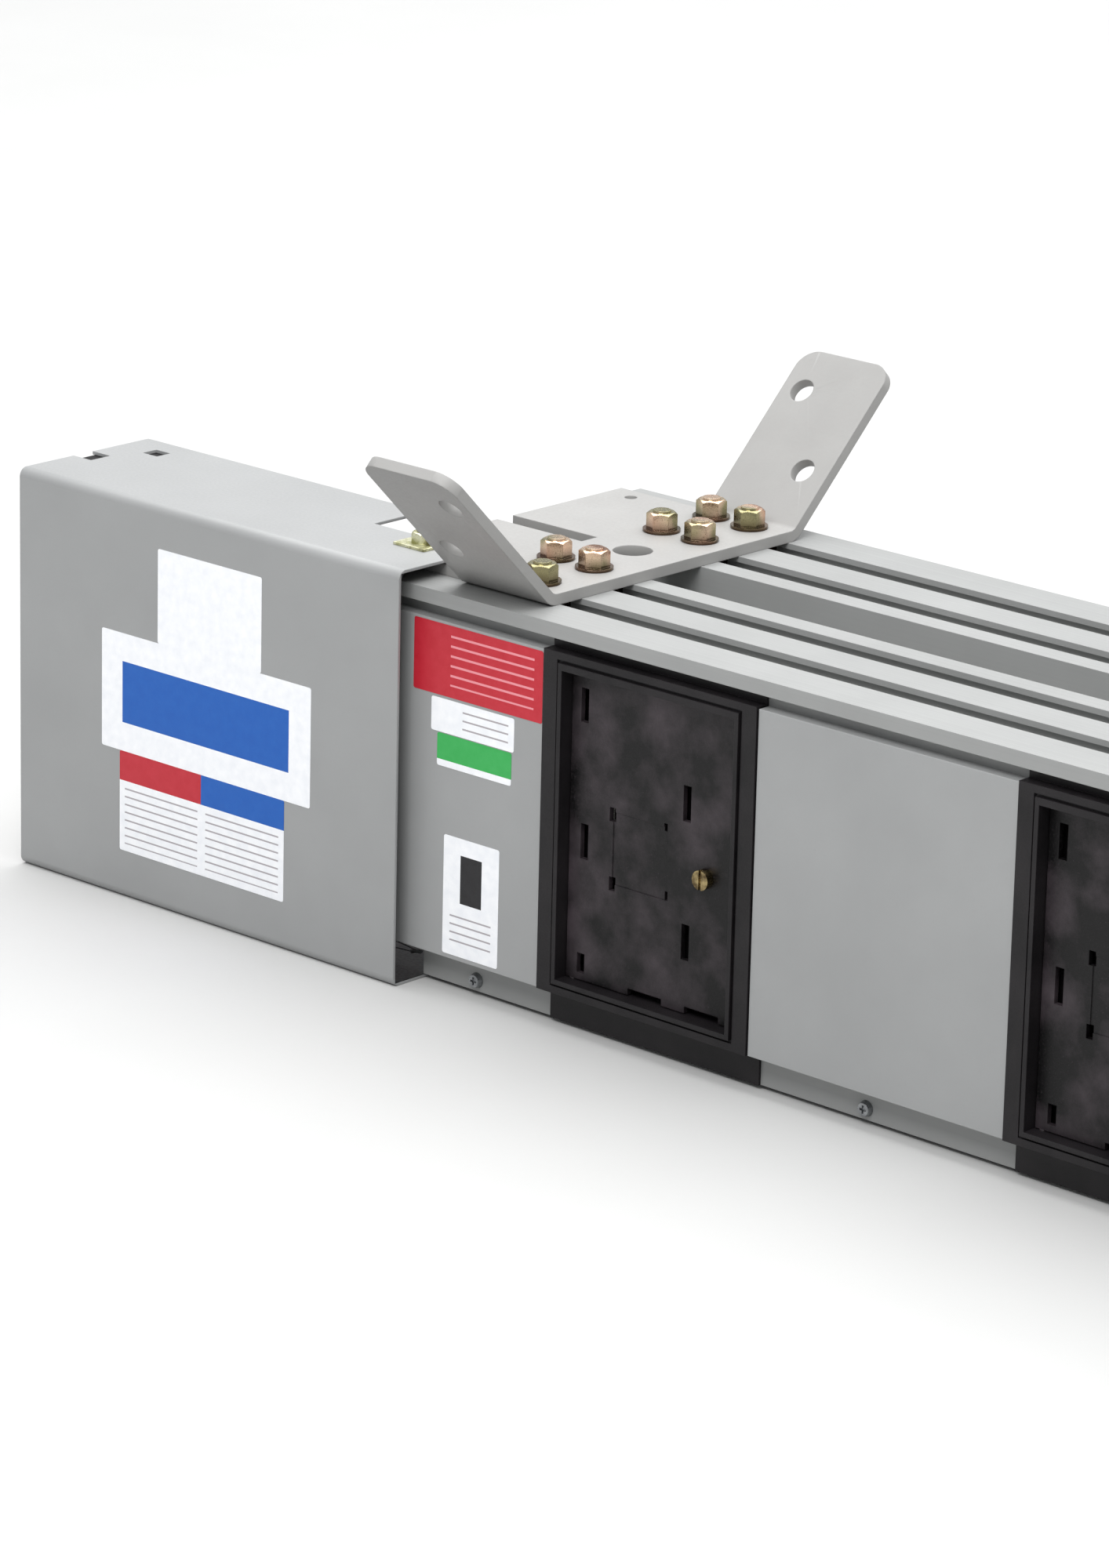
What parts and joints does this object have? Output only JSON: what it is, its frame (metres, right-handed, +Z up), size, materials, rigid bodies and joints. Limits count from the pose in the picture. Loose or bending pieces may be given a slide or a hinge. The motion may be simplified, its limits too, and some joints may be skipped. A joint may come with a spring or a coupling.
{
  "type": "busway section",
  "caption": "Plug-in busway section: extruded housing with T-slots, plug-in outlets with hinged doors, sheet joint cover and a two-winged hanger bracket.",
  "frame": {"origin": "middle of the footprint, at the level of the joint cover underside", "axes": "+X along the busway away from the joint cover, +Y from the front to the back, +Z up"},
  "size_m": [1.3466, 0.3468, 0.2963],
  "materials": {
    "housing_paint": "extruded aluminium with a light gray powder coat",
    "panel_paint": "gray powder coat on sheet",
    "bracket_paint": "light gray paint on steel plate",
    "zinc": "yellow chromated zinc on steel",
    "clear_zinc": "clear zinc plate on steel",
    "brass": "turned brass",
    "outlet_plastic": "moulded black thermoplastic with a soft sheen",
    "bar_metal": "tin-plated aluminium bar",
    "support_plastic": "moulded insulator",
    "insulator_sheet": "glass-filled polyester sheet"
  },
  "bodies": {
    "housing": {"housing_front": "housing_paint", "housing_back": "housing_paint", "joint_cover": "panel_paint", "hanger_bracket": "bracket_paint", "hanger_bolts": "zinc", "hanger_nuts": "zinc", "cover_bolts": "zinc", "cover_washers": "zinc", "cover_nuts": "zinc", "panel_screws": "clear_zinc", "bus_bars": "bar_metal", "bar_supports": "support_plastic", "joint_plates": "bar_metal", "joint_insulators": "insulator_sheet", "joint_bolt": "zinc", "joint_nut": "zinc", "panel_front_1": "panel_paint", "panel_front_2": "panel_paint", "panel_front_3": "panel_paint", "panel_front_4": "panel_paint", "panel_back_1": "panel_paint", "panel_back_2": "panel_paint", "panel_back_3": "panel_paint", "panel_back_4": "panel_paint", "outlet_front_1": "outlet_plastic", "outlet_front_2": "outlet_plastic", "outlet_front_3": "outlet_plastic", "outlet_back_1": "outlet_plastic", "outlet_back_2": "outlet_plastic", "outlet_back_3": "outlet_plastic"},
    "door_front_1": {"outlet_door_front_1": "outlet_plastic", "latch_screw_front_1": "brass"},
    "door_front_2": {"outlet_door_front_2": "outlet_plastic", "latch_screw_front_2": "brass"},
    "door_front_3": {"outlet_door_front_3": "outlet_plastic", "latch_screw_front_3": "brass"},
    "door_back_1": {"outlet_door_back_1": "outlet_plastic", "latch_screw_back_1": "brass"},
    "door_back_2": {"outlet_door_back_2": "outlet_plastic", "latch_screw_back_2": "brass"},
    "door_back_3": {"outlet_door_back_3": "outlet_plastic", "latch_screw_back_3": "brass"}
  },
  "joints": [
    {"name": "door_hinge_front_1", "type": "hinge", "parent": "housing", "child": "door_front_1", "pos_m": [-0.2789, -0.1074, 0.0286], "axis": [0, 0, -1], "range_deg": [0, 100]},
    {"name": "door_hinge_front_2", "type": "hinge", "parent": "housing", "child": "door_front_2", "pos_m": [0.0259, -0.1074, 0.0286], "axis": [0, 0, -1], "range_deg": [0, 100]},
    {"name": "door_hinge_front_3", "type": "hinge", "parent": "housing", "child": "door_front_3", "pos_m": [0.3307, -0.1074, 0.0286], "axis": [0, 0, -1], "range_deg": [0, 100]},
    {"name": "door_hinge_back_1", "type": "hinge", "parent": "housing", "child": "door_back_1", "pos_m": [0.4364, 0.1074, 0.0286], "axis": [0, 0, -1], "range_deg": [0, 100]},
    {"name": "door_hinge_back_2", "type": "hinge", "parent": "housing", "child": "door_back_2", "pos_m": [0.1316, 0.1074, 0.0286], "axis": [0, 0, -1], "range_deg": [0, 100]},
    {"name": "door_hinge_back_3", "type": "hinge", "parent": "housing", "child": "door_back_3", "pos_m": [-0.1732, 0.1074, 0.0286], "axis": [0, 0, -1], "range_deg": [0, 100]}
  ]
}
